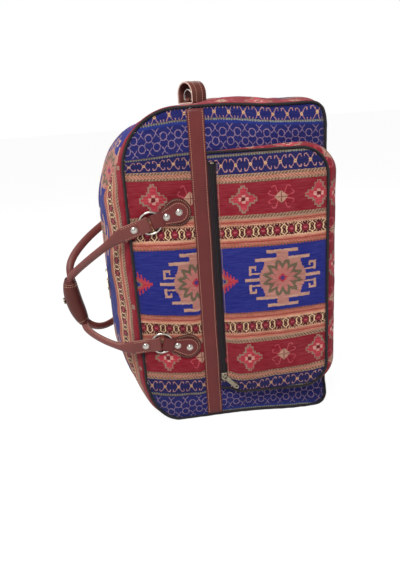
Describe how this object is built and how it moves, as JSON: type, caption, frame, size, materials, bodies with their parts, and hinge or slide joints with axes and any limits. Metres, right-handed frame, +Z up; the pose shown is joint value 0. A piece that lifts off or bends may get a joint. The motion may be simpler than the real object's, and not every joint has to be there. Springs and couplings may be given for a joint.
{
  "type": "suitcase",
  "caption": "Soft travel bag in woven kilim cloth with leather handles and bands, a zipped domed top and a leaning zipped front pocket, standing on one end.",
  "frame": {"origin": "centre of the lower end, on which the bag stands, at the floor", "axes": "+Z up along the length of the bag, -X towards the carrying side with the handles, -Y towards the front pocket"},
  "size_m": [0.4532, 0.2534, 0.5681],
  "materials": {
    "kilim_cloth": "woven kilim in blue, red, peach and cream bands",
    "piping_cord": "dark corded piping",
    "strap_leather": "smooth reddish brown leather with pale stitching",
    "nickel": "bright nickel plate",
    "zip_metal": "antique metal",
    "zip_tape": "black woven tape",
    "zip_coil": "black nylon",
    "stiffener": "hidden board"
  },
  "bodies": {
    "bag": {"front_panel": "kilim_cloth", "back_panel": "kilim_cloth", "base_gusset": "kilim_cloth", "top_gusset_front": "kilim_cloth", "top_gusset_back": "kilim_cloth", "front_piping": "piping_cord", "back_piping": "piping_cord", "base_board": "stiffener", "front_band": "strap_leather", "back_band": "strap_leather", "pocket_front": "kilim_cloth", "pocket_gusset": "kilim_cloth", "pocket_piping": "piping_cord", "pocket_zip_tape": "zip_tape", "pocket_zip_coil": "zip_coil", "pocket_zip_stops": "zip_metal", "main_zip_tape": "zip_tape", "main_zip_coil": "zip_coil", "main_zip_stops": "zip_metal", "front_upper_patch": "strap_leather", "front_lower_patch": "strap_leather", "back_upper_patch": "strap_leather", "back_lower_patch": "strap_leather", "front_upper_tab": "strap_leather", "front_lower_tab": "strap_leather", "back_upper_tab": "strap_leather", "back_lower_tab": "strap_leather", "front_tab_rivets": "nickel", "back_tab_rivets": "nickel", "front_handle_rivets": "nickel", "back_handle_rivets": "nickel", "front_handle": "strap_leather", "back_handle": "strap_leather", "grip_wrap": "strap_leather", "wrap_snap": "nickel", "end_loop": "strap_leather", "ring_keeper": "strap_leather"},
    "pocket_slider": {"pocket_slider": "zip_metal"},
    "pocket_pull": {"pocket_pull": "zip_metal"},
    "upper_main_slider": {"upper_main_slider": "zip_metal"},
    "upper_main_pull": {"upper_main_pull": "zip_metal"},
    "lower_main_slider": {"lower_main_slider": "zip_metal"},
    "lower_main_pull": {"lower_main_pull": "zip_metal"},
    "front_upper_ring": {"front_upper_ring": "nickel"},
    "front_lower_ring": {"front_lower_ring": "nickel"},
    "back_upper_ring": {"back_upper_ring": "nickel"},
    "back_lower_ring": {"back_lower_ring": "nickel"},
    "end_ring": {"end_ring": "nickel"}
  },
  "joints": [
    {"name": "pocket_zip", "type": "slide", "parent": "bag", "child": "pocket_slider", "axis": [0, 0, 1], "range_m": [0, 0.356]},
    {"name": "pocket_pull_lift", "type": "hinge", "parent": "pocket_slider", "child": "pocket_pull", "pos_m": [-0.02371, -0.10914, 0.0816], "axis": [-0.6552, 0.1359, -0.7431], "range_deg": [0, 150]},
    {"name": "upper_main_zip", "type": "slide", "parent": "bag", "child": "upper_main_slider", "axis": [0, 0, 1], "range_m": [0, 0.112]},
    {"name": "upper_pull_lift", "type": "hinge", "parent": "upper_main_slider", "child": "upper_main_pull", "pos_m": [-0.20775, 0, 0.262], "axis": [0, 0.8192, -0.5736], "range_deg": [0, 150]},
    {"name": "lower_main_zip", "type": "slide", "parent": "bag", "child": "lower_main_slider", "axis": [0, 0, 1], "range_m": [-0.085, 0]},
    {"name": "lower_pull_lift", "type": "hinge", "parent": "lower_main_slider", "child": "lower_main_pull", "pos_m": [-0.20775, 0, 0.244], "axis": [0, 1, 0], "range_deg": [0, 150]},
    {"name": "end_ring_swing", "type": "hinge", "parent": "bag", "child": "end_ring", "pos_m": [-0.04028, -0.00363, 0.5394], "axis": [-0.5, 0.866, 0], "range_deg": [-70, 70]},
    {"name": "front_upper_ring_turn", "type": "hinge", "parent": "bag", "child": "front_upper_ring", "pos_m": [-0.12537, -0.1042, 0.362], "axis": [0, 1, 0], "continuous": true},
    {"name": "front_lower_ring_turn", "type": "hinge", "parent": "bag", "child": "front_lower_ring", "pos_m": [-0.12537, -0.1042, 0.156], "axis": [0, 1, 0], "continuous": true},
    {"name": "back_upper_ring_turn", "type": "hinge", "parent": "bag", "child": "back_upper_ring", "pos_m": [-0.12537, 0.1042, 0.362], "axis": [0, 1, 0], "continuous": true},
    {"name": "back_lower_ring_turn", "type": "hinge", "parent": "bag", "child": "back_lower_ring", "pos_m": [-0.12537, 0.1042, 0.156], "axis": [0, 1, 0], "continuous": true}
  ]
}
